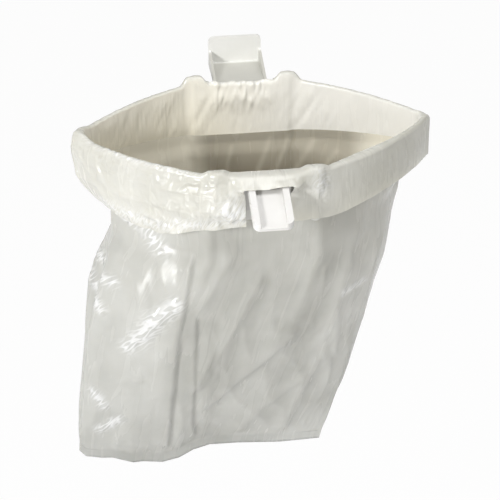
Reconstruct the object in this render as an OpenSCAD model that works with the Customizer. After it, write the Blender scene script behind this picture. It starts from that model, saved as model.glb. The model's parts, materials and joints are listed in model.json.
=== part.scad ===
// Folding bag holder: a hinged hoop on a wall hook, with a carrier bag turned over the hoop.
// Millimetres. X runs across the hoop, Y runs towards the wall, Z is up.
// The origin is the centre of the hook's pad, on the face that meets the wall.

/* [Hoop] */
// Distance between the two corner pins
hoop_w = 250; // [200:1:320]
// Distance between the hinge line of the bracket and that of the clip
hoop_d = 144; // [120:1:200]
// Distance between the two hinge pins of the bracket, and of the clip
hinge_span = 70; // [56:1:90]
// Height of the bands at the bracket
band_h = 45; // [30:1:60]
// Height of the bands at the clip
clip_h = 36; // [30:1:45]
// Height of the bands at the corners
corner_h = 28; // [20:1:45]
// Thickness of an arm
arm_t = 2.4; // [1.6:0.1:3.2]
// How far an arm bows out from the line between its pins
arm_bow = 7.5; // [3:0.5:12]
// Thickness of the bracket plate and of the clip plate
plate_t = 3; // [2:0.1:4]

/* [Hinges] */
// Diameter of a hinge pin
pin_d = 3; // [2:0.1:4]
// Wall of a knuckle round its pin
knuckle_wall = 2; // [1.5:0.1:3]
// Height of a pin's domed head
head_h = 1.8; // [1.2:0.1:3]
// How far a pin's head and cap keep in from the edge of the knuckle
head_inset = 0.3; // [0.1:0.1:1]
// Height of the collar that lifts the heads of the bracket's pins over the rim
bracket_collar = 4.5; // [0.5:0.5:8]
// Height of the collar that lifts the heads of the clip's pins over the rim
clip_collar = 0.5; // [0.5:0.5:8]
// Height of the cap on the lower end of a pin
cap_h = 3; // [2:0.1:5]
// Thickness of a cap's closed end
cap_floor = 1; // [0.6:0.1:1.5]

/* [Hook] */
// Distance from the wall to the back of the bracket
reach = 40; // [24:1:60]
// Width of the hook
hook_w = 40; // [28:1:50]
// Height of the hook's upright lip
lip_h = 23.5; // [16:0.5:40]
// Thickness of the hook
hook_t = 2.5; // [2:0.1:4]
// Corner radius of the lip
lip_corner = 4; // [1:0.5:8]
// Height of the side webs where they meet the lip
web_h = 10; // [6:0.5:12]
// Height of the side webs at the bracket
web_tip = 0.6; // [0.4:0.1:3]
// Thickness of a side web
web_t = 2; // [1.5:0.1:4]
// Length of the hook's tab down the back of the bracket
tab_h = 24; // [16:1:30]
// Thickness of the tape pad
pad_t = 1.5; // [0.8:0.1:3]
// How far the pad keeps in from the lip's edges
pad_inset = 2.5; // [1:0.5:4]

/* [Pull handle] */
// Width of the handle
handle_w = 28; // [22:1:40]
// Length of the tongue
handle_l = 43; // [28:1:60]
// Slope of the tongue below level, in degrees
handle_slope = 20; // [0:1:35]
// Thickness of the handle's plate and tongue
handle_t = 2.5; // [2:0.1:4]
// Width of a side rail
rail_w = 4.5; // [3:0.1:6]
// Height of a side rail over the tongue
rail_h = 4; // [2:0.5:8]
// Depth of the tongue's root below the rim
root_drop = 6; // [5:0.5:10]
// Corner radius of the tongue's end
end_r = 5; // [2:0.5:10]
// How far the rails flare out along the tongue as they rise to the rim
flare_l = 9; // [6:0.5:20]
// Height of the handle's plate on the clip
base_h = 27; // [22:1:30]
// Width of the handle's plate on the clip
base_w = 34; // [24:1:50]

/* [Rivets] */
// Diameter of a rivet
rivet_d = 3.5; // [2.5:0.1:4.5]
// Distance between the two rivets of a pair
rivet_span = 16; // [12:0.5:18]
// Height of a rivet head
rivet_h = 1.6; // [1:0.1:2]
// How far a rivet head spreads beyond its shank
rivet_lap = 1.5; // [1:0.1:2]
// Height of the handle's rivets above the foot of its plate
rivet_rise = 6; // [5:0.5:8]

/* [Bag] */
// How far the bag hangs below the rim
bag_drop = 281; // [180:1:340]
// Width of the bag across its foot
foot_w = 189; // [120:1:230]
// Depth of the bag at its foot
foot_d = 28; // [10:1:60]
// How far the foot hangs to one side
foot_shift = -41; // [-60:1:60]
// How far the turned-over edge hangs below the rim
cuff_drop = 50; // [46:1:90]
// Thickness of the film as it is modelled
film_t = 0.4; // [0.3:0.1:1]

/* [Clearances] */
// Radial clearance of a pin in a knuckle that turns on it
pin_clear = 0.05; // [0.02:0.01:0.1]
// Radial clearance where a pin or rivet stays put
hold_clear = 0.02; // [0.01:0.01:0.05]
// Clearance under the end of a pin in its cap
tail_clear = 0.2; // [0.1:0.1:0.5]
// Clearance between one knuckle and the next, along the pin
seam_clear = 0.4; // [0.2:0.1:1]
// Clearance round a knuckle
knuckle_clear = 0.5; // [0.3:0.1:1]
// Half the space between two arms lying side by side
face_gap = 0.4; // [0.2:0.1:1]
// Clearance between the bag and the frame
film_clear = 0.6; // [0.4:0.1:1.5]
// Clearance between the bag's body and the knuckles and rivets inside the hoop
body_clear = 1.5; // [1:0.1:3]

/* [Hidden] */
$fn = 64;
over = 1;
knuckle_d = pin_d + 2 * knuckle_wall;
head_d = knuckle_d - 2 * head_inset;
half_span = hinge_span / 2;
rim_z = hook_t - lip_h / 2;
floor_z = rim_z - band_h;
back_y = -reach - plate_t / 2;
mid_y = back_y - hoop_d / 2;
front_y = back_y - hoop_d;
corner_z = rim_z - corner_h;

// An arm in its own frame: bracket or clip pin at the origin, corner pin at [arm_len, 0]
arm_dx = hoop_w / 2 - half_span;
arm_dy = hoop_d / 2;
arm_len = norm([arm_dx, arm_dy]);
arm_turn = atan2(arm_dy, arm_dx);
arc_r = (arm_len * arm_len / 4 + arm_bow * arm_bow) / (2 * arm_bow);
arc_half = asin(arm_len / 2 / arc_r);
// Centre of the back right arm's arc, from the middle of the hoop
arc_c = [
  half_span + arm_len / 2 * cos(arm_turn) + (arm_bow - arc_r) * sin(arm_turn),
  arm_dy - arm_len / 2 * sin(arm_turn) + (arm_bow - arc_r) * cos(arm_turn)
];

pin_tail = cap_h - cap_floor - tail_clear;
hook_rivet_z = rim_z - (tab_h + hook_t) / 2;
handle_rivet_z = rim_z - base_h + rivet_rise;
rivet_head_d = rivet_d + 2 * rivet_lap;

// The bag: rings of points round the mouth, from the turned-over edge up, over and down
bag_n = 48;
bag_steps = 5;
cuff_off = knuckle_d / 2 + film_clear;
body_off = -max(plate_t / 2 + rivet_h, knuckle_d / 2) - body_clear;
cap_z = rim_z + film_clear;
neck_z = floor_z - cap_h - film_clear;
foot_z = rim_z - bag_drop;
notch_x = half_span + knuckle_d / 2 + film_clear;

// A pin standing on z = 0 under its head, with the shank going down
module pin(len) {
  translate([0, 0, -len])
    cylinder(d = pin_d, h = len);
  dome(head_d, head_h);
}

// A low dome on z = 0
module dome(d, h) {
  r = (d * d / 4 + h * h) / (2 * h);
  intersection() {
    cylinder(d = d, h = h + over);
    translate([0, 0, h - r])
      sphere(r = r, $fn = 96);
  }
}

// A cap under z = 0, blind at its lower end
module cap() {
  translate([0, 0, -cap_h])
    difference() {
      cylinder(d = head_d, h = cap_h);
      translate([0, 0, cap_floor])
        cylinder(d = pin_d + 2 * hold_clear, h = cap_h);
    }
}

// A rivet along Y through a stack that runs from y0 to y1
module rivet(y0, y1) {
  translate([0, y1, 0])
    rotate([90, 0, 0])
      cylinder(d = rivet_d, h = y1 - y0);
  translate([0, y1, 0])
    rotate([-90, 0, 0])
      dome(rivet_head_d, rivet_h);
  translate([0, y0, 0])
    rotate([90, 0, 0])
      dome(rivet_head_d, rivet_h);
}

// Holes for a pair of rivets through a plate near y = 0
module rivet_holes(z) {
  for (x = [-1, 1])
    translate([x * rivet_span / 2, 0, z])
      rotate([90, 0, 0])
        cylinder(d = rivet_d + 2 * hold_clear, h = 4 * plate_t, center = true);
}

// One of the three parts of a hinge of height h: 0 lowest, 2 highest
module knuckle(i, h) {
  low = i == 0 ? 0 : i * h / 3 + seam_clear / 2;
  high = i == 2 ? h : (i + 1) * h / 3 - seam_clear / 2;
  translate([0, 0, rim_z - h + low])
    cylinder(d = knuckle_d, h = high - low);
}

// What is cut away so that the other side's knuckle can turn
module knuckle_room(i, h) {
  low = i == 0 ? -over : i * h / 3 - seam_clear / 2;
  high = i == 2 ? h + over : (i + 1) * h / 3 + seam_clear / 2;
  translate([0, 0, rim_z - h + low])
    cylinder(d = knuckle_d + 2 * knuckle_clear, h = high - low);
}

module bore(clear, h) {
  translate([0, 0, rim_z - h - over])
    cylinder(d = pin_d + 2 * clear, h = h + 2 * over);
}

// A plate of height h across the hoop with two knuckles at each end
module hinge_plate(h) {
  difference() {
    union() {
      translate([-half_span, -plate_t / 2, rim_z - h])
        cube([hinge_span, plate_t, h]);
      for (x = [-half_span, half_span])
        translate([x, 0, 0]) {
          knuckle(0, h);
          knuckle(2, h);
        }
    }
    for (x = [-half_span, half_span])
      translate([x, 0, 0]) {
        knuckle_room(1, h);
        bore(hold_clear, h);
      }
  }
}

// The curved band of an arm, bowing to +Y between the pins and getting lower towards the corner
module arm_band(h) {
  deep = 2 * (arm_bow + arm_t + knuckle_d);
  low = rim_z - h;
  intersection() {
    translate([arm_len / 2, arm_bow - arc_r, low])
      rotate(90 - arc_half)
        rotate_extrude(angle = 2 * arc_half, $fn = 720)
          translate([arc_r + face_gap, 0])
            square([arm_t, h]);
    rotate([90, 0, 0])
      linear_extrude(deep, center = true)
        polygon([[-knuckle_d, rim_z + over], [-knuckle_d, low - over], [0, low - over],
          [knuckle_d, low], [arm_len - knuckle_d, corner_z], [arm_len + knuckle_d, corner_z],
          [arm_len + knuckle_d, rim_z + over]]);
  }
}

// The back arms have the middle knuckle at both ends
module back_arm() {
  difference() {
    union() {
      difference() {
        arm_band(band_h);
        knuckle_room(0, band_h);
        knuckle_room(2, band_h);
        translate([arm_len, 0, 0]) {
          knuckle_room(0, corner_h);
          knuckle_room(2, corner_h);
        }
      }
      knuckle(1, band_h);
      translate([arm_len, 0, 0])
        knuckle(1, corner_h);
    }
    bore(pin_clear, band_h);
    translate([arm_len, 0, 0])
      bore(pin_clear, corner_h);
  }
}

// The front arms have the upper and lower knuckles at the corner, and hold the corner pin
module front_arm() {
  difference() {
    union() {
      difference() {
        arm_band(clip_h);
        knuckle_room(0, clip_h);
        knuckle_room(2, clip_h);
        translate([arm_len, 0, 0])
          knuckle_room(1, corner_h);
      }
      knuckle(1, clip_h);
      translate([arm_len, 0, 0]) {
        knuckle(0, corner_h);
        knuckle(2, corner_h);
      }
    }
    bore(pin_clear, clip_h);
    translate([arm_len, 0, 0]) {
      bore(hold_clear, corner_h);
      translate([0, 0, rim_z - head_h])
        cylinder(d = knuckle_d + 2 * over, h = head_h + over);
    }
  }
}

module at_back() {
  translate([half_span, back_y, 0])
    rotate(-arm_turn)
      children();
}

module at_front() {
  translate([0, 2 * mid_y, 0])
    mirror([0, 1, 0])
      at_back()
        children();
}

module on_left() {
  mirror([1, 0, 0])
    children();
}

module lip_outline() {
  translate([-hook_w / 2, -lip_h / 2])
    square([hook_w, lip_h - lip_corner]);
  translate([lip_corner - hook_w / 2, 0])
    square([hook_w - 2 * lip_corner, lip_h / 2]);
  for (x = [-1, 1])
    translate([x * (hook_w / 2 - lip_corner), lip_h / 2 - lip_corner])
      circle(r = lip_corner);
}

module wall_pad() {
  color([0.86, 0.83, 0.74])
    translate([pad_inset - hook_w / 2, -pad_t, pad_inset - lip_h / 2])
      cube([hook_w - 2 * pad_inset, pad_t, lip_h - 2 * pad_inset]);
}

module hook() {
  lip_y = -pad_t - hook_t;
  color([0.93, 0.93, 0.91])
    difference() {
      union() {
        translate([0, -pad_t, 0])
          rotate([90, 0, 0])
            linear_extrude(hook_t)
              lip_outline();
        translate([-hook_w / 2, -reach, rim_z - hook_t])
          cube([hook_w, reach - pad_t, hook_t]);
        translate([-hook_w / 2, -reach, rim_z - tab_h])
          cube([hook_w, hook_t, tab_h]);
        for (x = [-hook_w / 2, hook_w / 2 - web_t])
          translate([x, 0, 0])
            rotate([90, 0, 90])
              linear_extrude(web_t)
                polygon([[-reach, rim_z - over], [-reach, rim_z + web_tip], [lip_y, rim_z + web_h],
                  [lip_y + over, rim_z + web_h], [lip_y + over, rim_z - over]]);
      }
      translate([0, -reach, 0])
        rivet_holes(hook_rivet_z);
    }
}

module hook_rivets() {
  color([0.8, 0.8, 0.78])
    for (x = [-1, 1])
      translate([x * rivet_span / 2, 0, hook_rivet_z])
        rivet(-reach - plate_t, -reach + hook_t);
}

module back_bracket() {
  color([0.95, 0.95, 0.94])
    translate([0, back_y, 0])
      difference() {
        hinge_plate(band_h);
        rivet_holes(hook_rivet_z);
      }
}

module hinge_pin(x, y, h, collar) {
  color([0.85, 0.85, 0.83])
    translate([x, y, rim_z]) {
      translate([0, 0, collar])
        pin(collar + h + pin_tail);
      cylinder(d = head_d, h = collar);
    }
}

module bracket_pin_left() {
  hinge_pin(-half_span, back_y, band_h, bracket_collar);
}

module bracket_pin_right() {
  hinge_pin(half_span, back_y, band_h, bracket_collar);
}

module caps(y, h) {
  color([0.85, 0.85, 0.83])
    for (x = [-half_span, half_span])
      translate([x, y, rim_z - h])
        cap();
}

module bracket_caps() {
  caps(back_y, band_h);
}

module back_arm_right() {
  color([0.95, 0.95, 0.94])
    at_back()
      back_arm();
}

module back_arm_left() {
  on_left()
    back_arm_right();
}

module front_arm_right() {
  color([0.95, 0.95, 0.94])
    at_front()
      front_arm();
}

module front_arm_left() {
  on_left()
    front_arm_right();
}

// The corner pins' heads are sunk level with the rim, so that the film slides over them
module corner_pin_right() {
  color([0.85, 0.85, 0.83])
    translate([hoop_w / 2, mid_y, rim_z - head_h])
      pin(corner_h - head_h + pin_tail);
}

module corner_pin_left() {
  on_left()
    corner_pin_right();
}

module corner_cap_right() {
  color([0.85, 0.85, 0.83])
    translate([hoop_w / 2, mid_y, corner_z])
      cap();
}

module corner_cap_left() {
  on_left()
    corner_cap_right();
}

module front_clip() {
  color([0.95, 0.95, 0.94])
    translate([0, front_y, 0])
      difference() {
        hinge_plate(clip_h);
        rivet_holes(handle_rivet_z);
      }
}

module clip_pin_left() {
  hinge_pin(-half_span, front_y, clip_h, clip_collar);
}

module clip_pin_right() {
  hinge_pin(half_span, front_y, clip_h, clip_collar);
}

module clip_caps() {
  caps(front_y, clip_h);
}

// The tongue seen from above, going out to -Y from its root
module tongue_outline() {
  translate([-handle_w / 2, end_r - handle_l])
    square([handle_w, handle_l - end_r]);
  translate([end_r - handle_w / 2, -handle_l])
    square([handle_w - 2 * end_r, handle_l]);
  for (x = [-1, 1])
    translate([x * (handle_w / 2 - end_r), end_r - handle_l])
      circle(r = end_r);
}

module pull_handle() {
  face_y = front_y - plate_t / 2;
  color([0.96, 0.96, 0.96])
    difference() {
      union() {
        translate([-base_w / 2, face_y - handle_t, rim_z - base_h])
          cube([base_w, handle_t, base_h]);
        translate([0, face_y - handle_t / 2, rim_z - root_drop])
          rotate([handle_slope, 0, 0]) {
            translate([0, 0, -handle_t])
              linear_extrude(handle_t)
                tongue_outline();
            difference() {
              translate([0, 0, -handle_t / 2])
                linear_extrude(rail_h + handle_t / 2)
                  tongue_outline();
              translate([rail_w - handle_w / 2, -handle_l - over, -handle_t])
                cube([handle_w - 2 * rail_w, handle_l + 2 * over, rail_h + 2 * handle_t]);
            }
          }
        for (x = [-handle_w / 2, handle_w / 2 - rail_w])
          translate([x, 0, 0])
            rotate([90, 0, 90])
              linear_extrude(rail_w)
                polygon([[face_y - over, rim_z - root_drop - over], [face_y - over, rim_z],
                  [face_y - handle_t - over, rim_z], [face_y - handle_t - flare_l, rim_z - root_drop],
                  [face_y - handle_t - flare_l / 2, rim_z - root_drop - over]]);
      }
      translate([-handle_w, face_y, rim_z - 2 * base_h])
        cube([2 * handle_w, handle_l, 3 * base_h]);
      translate([0, face_y, 0])
        rivet_holes(handle_rivet_z);
    }
}

module handle_rivets() {
  color([0.8, 0.8, 0.78])
    for (x = [-1, 1])
      translate([x * rivet_span / 2, 0, handle_rivet_z])
        rivet(front_y - plate_t / 2 - handle_t, front_y + plate_t / 2);
}

// How far the mouth's outline lies from the middle of the hoop, in one direction
function reach_to(a, off) =
  let (u = [abs(cos(a)), abs(sin(a))], b = u * arc_c)
  min(b + sqrt(b * b - arc_c * arc_c + pow(arc_r + off, 2)), (arm_dy + off) / max(u[1], 0.001));

// A ring of the bag: off is its distance from the hinge lines, share how far it is down to the foot
function ring(off, z, share, thin) = [
  for (i = [0:bag_n - 1])
    let (a = 360 * i / bag_n, r = reach_to(a, off))
    [(1 - share) * r * cos(a) + share * (foot_shift + (foot_w / 2 - thin) * cos(a)),
      mid_y + (1 - share) * r * sin(a) + share * (foot_d / 2 - thin) * sin(a), z]
];

// One face of the film, from the foot up to the neck, straight up inside the hoop,
// over the rim and down outside it
function skin(out, inn, top, low, thin) = concat(
  [for (j = [bag_steps:-1:0])
    ring(inn, neck_z + (low - neck_z) * j / bag_steps, j / bag_steps, thin)],
  [ring(inn, top, 0, thin), ring(out, top, 0, thin), ring(out, rim_z - cuff_drop, 0, thin)]);

function turned(list) = [for (i = [len(list) - 1:-1:0]) list[i]];

module bag_shell() {
  rings = concat(
    skin(cuff_off + film_t, body_off - film_t, cap_z + film_t, foot_z + film_t, film_t),
    turned(skin(cuff_off, body_off, cap_z, foot_z, 0)));
  last = len(rings) - 1;
  points = [for (r = rings) for (p = r) p];
  sides = [
    for (j = [0:last - 1])
      for (i = [0:bag_n - 1])
        let (k = (i + 1) % bag_n, a = j * bag_n, b = a + bag_n)
        each [[a + i, a + k, b + k], [a + i, b + k, b + i]]
  ];
  ends = [[for (i = [bag_n - 1:-1:0]) i], [for (i = [0:bag_n - 1]) last * bag_n + i]];
  polyhedron(points = points, faces = concat(sides, ends));
}

// The bag is left open over the bracket and over the clip, where the hook and the handle pass
module carrier_bag() {
  room = -body_off - over;
  color([0.9, 0.9, 0.88, 0.6])
    difference() {
      bag_shell();
      translate([-notch_x, back_y - room, rim_z - cuff_drop - over])
        cube([2 * notch_x, room + reach, 2 * cuff_drop]);
      translate([-notch_x, front_y - reach, rim_z - cuff_drop - over])
        cube([2 * notch_x, room + reach, 2 * cuff_drop]);
    }
}

wall_pad();
hook();
hook_rivets();
back_bracket();
bracket_pin_left();
bracket_pin_right();
bracket_caps();
back_arm_left();
back_arm_right();
front_arm_left();
front_arm_right();
corner_pin_left();
corner_pin_right();
corner_cap_left();
corner_cap_right();
front_clip();
clip_pin_left();
clip_pin_right();
clip_caps();
pull_handle();
handle_rivets();
carrier_bag();
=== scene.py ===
import json
import math

import bpy
import numpy as np
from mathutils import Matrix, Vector, noise


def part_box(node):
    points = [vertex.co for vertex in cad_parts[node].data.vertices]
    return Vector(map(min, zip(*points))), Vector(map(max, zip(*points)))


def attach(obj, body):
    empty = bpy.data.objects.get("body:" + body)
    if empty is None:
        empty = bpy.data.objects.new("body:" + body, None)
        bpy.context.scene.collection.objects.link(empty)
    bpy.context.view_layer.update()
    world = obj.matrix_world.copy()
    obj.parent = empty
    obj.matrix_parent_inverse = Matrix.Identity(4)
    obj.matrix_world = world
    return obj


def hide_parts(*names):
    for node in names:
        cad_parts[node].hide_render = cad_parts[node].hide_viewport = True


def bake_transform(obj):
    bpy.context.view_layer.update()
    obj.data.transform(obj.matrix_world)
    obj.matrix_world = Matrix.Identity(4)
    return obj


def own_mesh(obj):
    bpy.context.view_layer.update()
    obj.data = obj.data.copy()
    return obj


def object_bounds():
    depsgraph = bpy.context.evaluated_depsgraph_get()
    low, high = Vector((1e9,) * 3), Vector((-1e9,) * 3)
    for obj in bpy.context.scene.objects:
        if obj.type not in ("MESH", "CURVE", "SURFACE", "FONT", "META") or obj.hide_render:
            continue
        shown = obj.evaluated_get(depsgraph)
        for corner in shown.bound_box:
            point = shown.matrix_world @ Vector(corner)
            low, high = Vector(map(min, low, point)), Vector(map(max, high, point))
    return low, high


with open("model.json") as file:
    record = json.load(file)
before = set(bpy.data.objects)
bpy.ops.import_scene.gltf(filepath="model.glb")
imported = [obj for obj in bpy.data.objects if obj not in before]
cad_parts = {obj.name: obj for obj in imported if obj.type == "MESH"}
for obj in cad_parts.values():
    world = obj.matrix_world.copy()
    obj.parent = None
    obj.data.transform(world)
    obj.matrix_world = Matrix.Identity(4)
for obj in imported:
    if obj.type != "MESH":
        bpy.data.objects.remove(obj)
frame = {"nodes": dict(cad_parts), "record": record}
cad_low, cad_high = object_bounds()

MM = 0.001

# The hoop: hinge lines through its six pins, read from the CAD pieces


def pin_at(node):
    """Where a pin stands, seen from above."""
    low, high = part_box(node)
    return (low.x + high.x) / 2, (low.y + high.y) / 2


HALF_SPAN, BACK_Y = pin_at("bracket_pin_right")
FRONT_Y = pin_at("clip_pin_right")[1]
CORNER_X, MID_Y = pin_at("corner_pin_right")
HALF_DEPTH = (BACK_Y - FRONT_Y) / 2
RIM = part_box("back_bracket")[1].z
BAND_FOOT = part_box("back_bracket")[0].z
CLIP_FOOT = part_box("front_clip")[0].z
CORNER_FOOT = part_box("corner_cap_right")[1].z
KNUCKLE = 3.5 * MM
ARM_BOW = 7.5 * MM

# Each arm is an arc; this is the back right one, seen from the middle of the hoop
ARM_LEN = math.hypot(CORNER_X - HALF_SPAN, HALF_DEPTH)
ARM_TURN = math.atan2(HALF_DEPTH, CORNER_X - HALF_SPAN)
ARC_R = (ARM_LEN ** 2 / 4 + ARM_BOW ** 2) / (2 * ARM_BOW)
ARC_X = HALF_SPAN + ARM_LEN / 2 * math.cos(ARM_TURN) + (ARM_BOW - ARC_R) * math.sin(ARM_TURN)
ARC_Y = HALF_DEPTH - ARM_LEN / 2 * math.sin(ARM_TURN) + (ARM_BOW - ARC_R) * math.cos(ARM_TURN)
TURN_PIN = math.atan2(HALF_DEPTH - ARC_Y, HALF_SPAN - ARC_X)
TURN_CORNER = math.atan2(-ARC_Y, CORNER_X - ARC_X)
ARM_ARC = ARC_R * (TURN_PIN - TURN_CORNER)

# Stations along the hinge lines, from the middle of the bracket round by the left
S_PIN_BL = HALF_SPAN
S_CORNER_L = S_PIN_BL + ARM_ARC
S_PIN_FL = S_CORNER_L + ARM_ARC
CLIP_MID = S_PIN_FL + HALF_SPAN
S_PIN_FR = S_PIN_FL + 2 * HALF_SPAN
S_CORNER_R = S_PIN_FR + ARM_ARC
S_PIN_BR = S_CORNER_R + ARM_ARC
S_END = S_PIN_BR + HALF_SPAN

# Where two pieces of the cuff meet on an arm, and half the width of the notches for the hook and the handle
SEAM_SHARE = 0.52
SEAM_BL = S_CORNER_L - ARM_ARC * SEAM_SHARE
SEAM_FL = S_CORNER_L + ARM_ARC * SEAM_SHARE
SEAM_BR = S_CORNER_R + ARM_ARC * SEAM_SHARE
NOTCH_BACK, NOTCH_FRONT = 24 * MM, 14.2 * MM

# The pins, and how tall and how soft the film's tent over each one is, in millimetres
PINS = [(-HALF_SPAN, BACK_Y), (HALF_SPAN, BACK_Y), (-HALF_SPAN, FRONT_Y), (HALF_SPAN, FRONT_Y),
        (-CORNER_X, MID_Y), (CORNER_X, MID_Y)]
TENT_TALL = (7.0, 6.6, 2.6, 2.6, 3.6, 0.8)
TENT_SOFT = (6.5, 6.5, 6.5, 6.5, 16, 10)


def quarter_station(s):
    """Stations folded onto the back left quarter, and whether each was on the right and in front."""
    s = np.mod(s, S_END)
    on_right = s > S_END / 2
    half = np.where(on_right, S_END - s, s)
    in_front = half > S_CORNER_L
    return np.where(in_front, 2 * S_CORNER_L - half, half), on_right, in_front


def hinge_point(s):
    """The point of the hinge lines at each station."""
    quarter, on_right, in_front = quarter_station(s)
    turn = TURN_PIN - (quarter - HALF_SPAN) / ARC_R
    x = np.where(quarter < HALF_SPAN, quarter, ARC_X + ARC_R * np.cos(turn))
    y = np.where(quarter < HALF_SPAN, HALF_DEPTH, ARC_Y + ARC_R * np.sin(turn))
    return np.where(on_right, x, -x), MID_Y + np.where(in_front, -y, y)


def hinge_distance(x, y):
    """Distance from the hinge lines, below zero inside the hoop."""
    px, py = np.abs(x), np.abs(y - MID_Y)
    to_pin = np.hypot(px - HALF_SPAN, py - HALF_DEPTH)
    plate = np.where(px <= HALF_SPAN, np.abs(py - HALF_DEPTH), to_pin)
    far = np.hypot(px - ARC_X, py - ARC_Y)
    turn = np.arctan2(py - ARC_Y, px - ARC_X)
    beside = (turn <= TURN_PIN) & (turn >= TURN_CORNER)
    arc = np.where(beside, np.abs(far - ARC_R), np.minimum(to_pin, np.hypot(px - CORNER_X, py)))
    inside = (py <= HALF_DEPTH) & (far <= ARC_R)
    return np.where(inside, -1, 1) * np.minimum(plate, arc)


def hoop_turn(s):
    """The turn round the middle of the hoop at each station."""
    x, y = hinge_point(s)
    return np.arctan2(y - MID_Y, x)


FARTHEST, HALVINGS = 0.2, 36


def hoop_reach(turn, off):
    """How far out from the hoop's middle a point at a distance off from the hinge lines lies."""
    turn, off = np.broadcast_arrays(turn, off)
    low, high = np.zeros(turn.shape), np.full(turn.shape, FARTHEST)
    for _ in range(HALVINGS):
        mid = (low + high) / 2
        inner = hinge_distance(mid * np.cos(turn), MID_Y + mid * np.sin(turn)) < off
        low, high = np.where(inner, mid, low), np.where(inner, high, mid)
    return (low + high) / 2


def hoop_points(turn, out, z):
    """Points at a turn round the middle of the hoop, a reach and a height."""
    return np.stack([out * np.cos(turn), MID_Y + out * np.sin(turn), np.broadcast_to(z, out.shape)], -1)


def ease(x):
    """A soft step from 0 to 1."""
    x = np.clip(x, 0, 1)
    return x * x * (3 - 2 * x)


def hump(x):
    """1 in the middle, soft to 0 on both sides."""
    return np.exp(-x * x)


def rounded(values, step, width):
    """Values round the closed hoop, smoothed over a width."""
    n = int(3 * width / step)
    kernel = np.exp(-((np.arange(-n, n + 1) * step / width) ** 2))
    kernel /= kernel.sum()
    return np.convolve(np.concatenate([values[-n:], values, values[:n]]), kernel, "valid")


def crumple(points, size, seed):
    """Smooth noise between -1 and 1 at each point, with a size in millimetres for each axis."""
    flat = points.reshape(-1, 3) / (np.array(size) * MM) + seed
    return np.array([noise.noise(Vector(p)) for p in flat]).reshape(points.shape[:-1])


def crease(points, size, seed):
    """As crumple, but with sharp crests, as creased film has."""
    return 1 - 2 * np.abs(crumple(points, size, seed))


def profile(along, values):
    """A line through measured points, given in millimetres."""
    along, values = np.array(along) * MM, np.array(values) * MM
    return lambda v: np.interp(v, along, values)


# The lining: film against the inside of the bands, bridging the knuckles
FILM_GAUGE = 0.18 * MM
PLATE_FACE, ARM_FACE = -3.9 * MM, 0.15 * MM
KNUCKLE_GAP, LINING_BELOW = 0.45 * MM, 3 * MM
BRIDGING = (3.0 * MM, 2.0 * MM)
FINE_STATIONS = 1200


def band_foot(s):
    """Height of the bands' lower edge at each station."""
    quarter, _, in_front = quarter_station(s)
    share = (quarter - HALF_SPAN - 2 * KNUCKLE) / (ARM_ARC - 4 * KNUCKLE)
    tall = np.where(in_front, CLIP_FOOT, BAND_FOOT)
    return tall + (CORNER_FOOT - tall) * np.clip(share, 0, 1)


def lining_reach(s):
    """Reach of the lining at evenly spaced stations all round the hoop."""
    x, y = hinge_point(s)
    turn = np.arctan2(y - MID_Y, x)
    on_plate = np.abs(x) < HALF_SPAN + 1e-9
    out = hoop_reach(turn, np.where(on_plate, PLATE_FACE, ARM_FACE))
    for px, py in PINS:
        py = py - MID_Y
        along = px * np.cos(turn) + py * np.sin(turn)
        room = along ** 2 - px * px - py * py + (KNUCKLE + KNUCKLE_GAP) ** 2
        met = (room > 0) & (along > 0)
        out = np.where(met, np.minimum(out, along - np.sqrt(np.maximum(room, 0))), out)
    fine = S_END / FINE_STATIONS
    for width in BRIDGING:
        out = np.minimum(out, rounded(out, fine, width))
    return out


fine_s = np.arange(FINE_STATIONS) * (S_END / FINE_STATIONS)
fine_lining = lining_reach(fine_s)


def lining_at(s):
    """Reach of the lining at each station."""
    closed = np.append(fine_lining, fine_lining[0])
    return np.interp(np.mod(s, S_END), np.append(fine_s, S_END), closed)


# The bag's waist, drawn in under the hoop's corners
LEFT_WAIST, RIGHT_WAIST, WAIST_Z = 103.5 * MM, 107.0 * MM, -69 * MM
WAIST_RISE, WAIST_DIP = 17 * MM, 2 * MM
WAIST_SLACK, WAIST_AT_PIN, CORNER_WIDE = 3 * MM, 7 * MM, 34 * MM
BODY_GAP, NECK_ABOVE = 0.7 * MM, 5 * MM


def waist(s):
    """Reach and height of the bag's waist."""
    at_left = hump((s - S_CORNER_L) / CORNER_WIDE)
    at_right = hump((s - S_CORNER_R) / CORNER_WIDE)
    out = lining_at(s) - WAIST_SLACK
    out = out + at_left * (LEFT_WAIST - CORNER_X + WAIST_AT_PIN)
    out = out + at_right * (RIGHT_WAIST - CORNER_X + WAIST_AT_PIN)
    return out, WAIST_Z + at_right * WAIST_RISE - at_left * WAIST_DIP


def body_reach(s, z):
    """Reach of the bag's body between the bands' lower edge and the waist."""
    tight, low = waist(s)
    snug = lining_at(s) - BODY_GAP
    top = band_foot(s) - 0.5 * MM
    return snug + (tight - snug) * ease((top - z) / (top - low))


# The cuff: film turned over the rim. Its drop goes by station, the other profiles by depth
cuff_drop = profile(
    [0, 24, 59, 115, 152, 181, 196, 228, 253, 281, 297, 318, 330, 345,
     363, 380, 395, 410, 420, 430, 442, 454, 470, 498, 545, 580, 605],
    [44, 44, 50, 53, 60, 50, 52, 55, 46, 41, 39, 38, 37, 37,
     36, 34.8, 33.6, 32.4, 31.8, 31.5, 32, 34, 37, 41, 44, 42, 42])
handle_tent = profile([0, 2.7, 4.7, 5.7, 8, 14, 22], [5.4, 9.2, 11.9, 14.5, 13, 7.5, 5])
left_bulge = profile([0, 6, 15, 30, 42, 50, 56], [3.4, 5.2, 6.6, 6.4, 5, 3, 1])
right_bulge = profile([0, 8, 20, 32, 38, 48], [3.4, 4.2, 5.0, 5.6, 6.2, 4])
left_point = profile([0, 8, 23, 31, 37.5, 42, 53, 59.6, 62], [5, 6.4, 5, 4.2, 0.8, -2.1, -11, -21, -24])
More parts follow.
